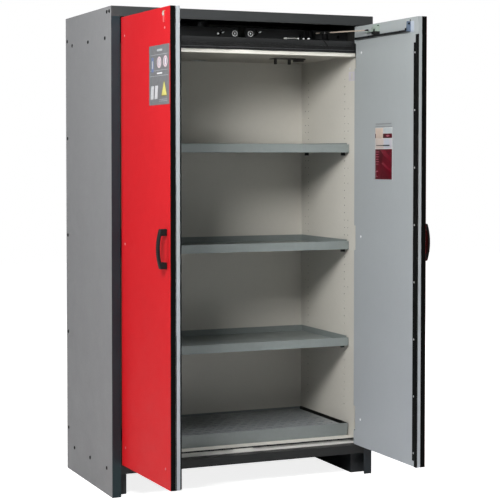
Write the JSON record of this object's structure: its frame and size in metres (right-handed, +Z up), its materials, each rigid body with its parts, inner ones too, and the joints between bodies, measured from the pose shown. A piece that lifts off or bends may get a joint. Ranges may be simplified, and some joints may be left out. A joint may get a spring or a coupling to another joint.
{
  "type": "flammable storage cabinet",
  "caption": "Free-standing insulated double-wall safety cabinet with a pair of self-closing hinged doors, tray shelves and a sump, doors shown open.",
  "frame": {"origin": "centre of the footprint of the casing, on the floor", "axes": "+Z up, +Y from the front (door side) to the back, +X to the right as seen from the front"},
  "size_m": [1.1668, 1.1302, 1.997],
  "materials": {
    "frame_dark": "satin powder coat",
    "casing_grey": "fine-textured powder coat",
    "mineral_board": "raw pressed board",
    "liner_beige": "smooth coated sheet",
    "flange_pale": "smooth coated sheet",
    "seal_black": "matt",
    "plenum_dark": "satin",
    "closer_black": "satin",
    "bright_steel": "zinc plated",
    "shelf_grey": "fine-textured powder coat",
    "insert_grey": "fine-textured powder coat",
    "peg_black": "matt",
    "vent_dark": "satin",
    "rivet_dark": "satin",
    "hinge_black": "satin",
    "door_red": "fine-textured powder coat",
    "edge_black": "satin",
    "inner_grey": "smooth coated sheet",
    "handle_black": "fine-textured",
    "plate_grey": "satin film",
    "lock_metal": "satin nickel"
  },
  "bodies": {
    "cabinet": {"front_frame": "frame_dark", "left_side_panel": "casing_grey", "right_side_panel": "casing_grey", "top_panel": "casing_grey", "back_panel": "casing_grey", "bottom_panel": "frame_dark", "front_beam": "frame_dark", "base_frame": "frame_dark", "side_insulation": "mineral_board", "back_insulation": "mineral_board", "ceiling_insulation": "mineral_board", "floor_insulation": "mineral_board", "left_liner": "liner_beige", "right_liner": "liner_beige", "back_liner": "liner_beige", "ceiling_liner": "liner_beige", "floor_liner": "liner_beige", "front_flange": "flange_pale", "door_gasket": "seal_black", "plenum_cover": "plenum_dark", "closer_bar_left": "plenum_dark", "closer_bar_right": "plenum_dark", "closer_housings": "closer_black", "exhaust_spigot": "bright_steel", "shelf_1": "shelf_grey", "shelf_2": "shelf_grey", "shelf_3": "shelf_grey", "shelf_supports": "peg_black", "sump_tray": "shelf_grey", "sump_insert": "insert_grey", "ceiling_vent": "vent_dark", "body_rivets": "rivet_dark", "left_hinge_leaves": "hinge_black", "right_hinge_leaves": "hinge_black"},
    "left_door": {"left_door_skin": "door_red", "left_door_edge": "edge_black", "left_door_core": "mineral_board", "left_door_inner_panel": "inner_grey", "left_seal_strip": "seal_black", "left_door_screws": "bright_steel", "left_handle": "handle_black", "left_guide_rail": "closer_black", "left_hinge_pins": "bright_steel", "left_door_plate": "plate_grey", "lock_escutcheon": "lock_metal"},
    "left_arm": {"left_closer_arm": "bright_steel"},
    "left_shoe": {"left_closer_shoe": "closer_black"},
    "right_door": {"right_door_skin": "door_red", "right_door_edge": "edge_black", "right_door_core": "mineral_board", "right_door_inner_panel": "inner_grey", "right_seal_strip": "seal_black", "right_door_screws": "bright_steel", "right_handle": "handle_black", "right_guide_rail": "closer_black", "right_hinge_pins": "bright_steel", "right_door_plate": "plate_grey"},
    "right_arm": {"right_closer_arm": "bright_steel"},
    "right_shoe": {"right_closer_shoe": "closer_black"},
    "lock_barrel": {"lock_cylinder": "lock_metal"}
  },
  "joints": [
    {"name": "left_door_hinge", "type": "hinge", "parent": "cabinet", "child": "left_door", "pos_m": [-0.5275, -0.2945, 1.01], "axis": [0, 0, 1], "range_deg": [-1.7, 88.3]},
    {"name": "right_door_hinge", "type": "hinge", "parent": "cabinet", "child": "right_door", "pos_m": [0.5275, -0.2945, 1.01], "axis": [0, 0, 1], "range_deg": [-90, 0]},
    {"name": "left_arm_pivot", "type": "hinge", "parent": "cabinet", "child": "left_arm", "pos_m": [-0.39, -0.24, 1.877], "axis": [0, 0, 1], "range_deg": [-2.3, 113]},
    {"name": "right_arm_pivot", "type": "hinge", "parent": "cabinet", "child": "right_arm", "pos_m": [0.39, -0.24, 1.877], "axis": [0, 0, 1], "range_deg": [-114.2, 0]},
    {"name": "left_shoe_slide", "type": "slide", "parent": "left_door", "child": "left_shoe", "axis": [0.0297, -0.9996, 0], "range_m": [-0.0045, 0.2152]},
    {"name": "right_shoe_slide", "type": "slide", "parent": "right_door", "child": "right_shoe", "axis": [0, -1, 0], "range_m": [0, 0.2184]},
    {"name": "lock_turn", "type": "hinge", "parent": "left_door", "child": "lock_barrel", "pos_m": [-0.53347, -0.76738, 1.877], "axis": [-0.9996, -0.0297, 0], "range_deg": [0, 90]}
  ],
  "couplings": [
    {"joint": "left_arm_pivot", "follows": "left_door_hinge", "ratio": 1.2769},
    {"joint": "right_arm_pivot", "follows": "right_door_hinge", "ratio": 1.2663},
    {"joint": "left_shoe_slide", "follows": "left_door_hinge", "m_per_rad": 0.13944},
    {"joint": "right_shoe_slide", "follows": "right_door_hinge", "m_per_rad": -0.13885}
  ]
}
